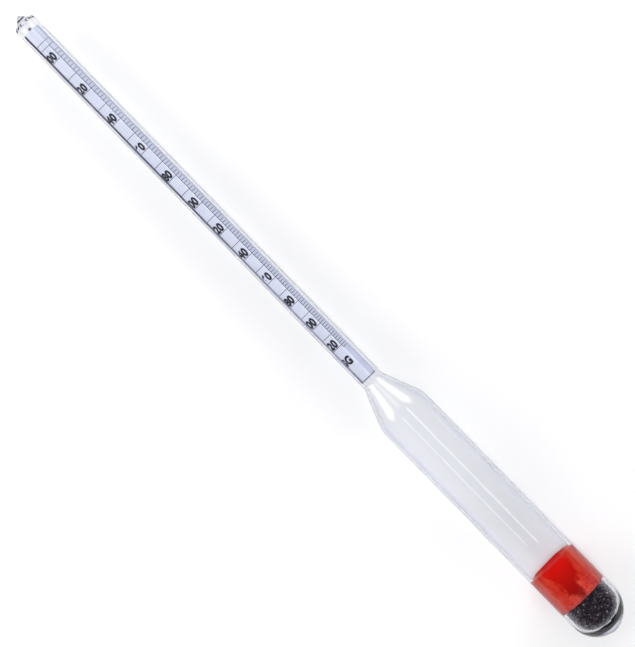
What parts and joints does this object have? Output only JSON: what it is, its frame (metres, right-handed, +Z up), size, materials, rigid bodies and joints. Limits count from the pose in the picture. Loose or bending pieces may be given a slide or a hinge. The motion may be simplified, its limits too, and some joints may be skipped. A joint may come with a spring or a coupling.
{
  "type": "hydrometer",
  "caption": "Sealed glass hydrometer lying on its side: a wide float with shot under red wax, and a thin pointed stem that holds a rolled paper specific-gravity scale.",
  "frame": {"origin": "on the table, straight under the middle of the hydrometer's length", "axes": "+X along the glass axis from the float's foot to the stem's tip, which is level; +Z up from the table"},
  "size_m": [0.25, 0.0168, 0.0169],
  "materials": {
    "clear_glass": "polished",
    "scale_paper": "matte",
    "glue": "satin",
    "sealing_wax": "satin",
    "shot": "satin"
  },
  "bodies": {
    "root": {"stem_tube": "clear_glass", "float_body": "clear_glass", "paper_scale": "scale_paper", "scale_glue": "glue", "wax_plug": "sealing_wax", "ballast_shot": "shot"}
  },
  "joints": []
}
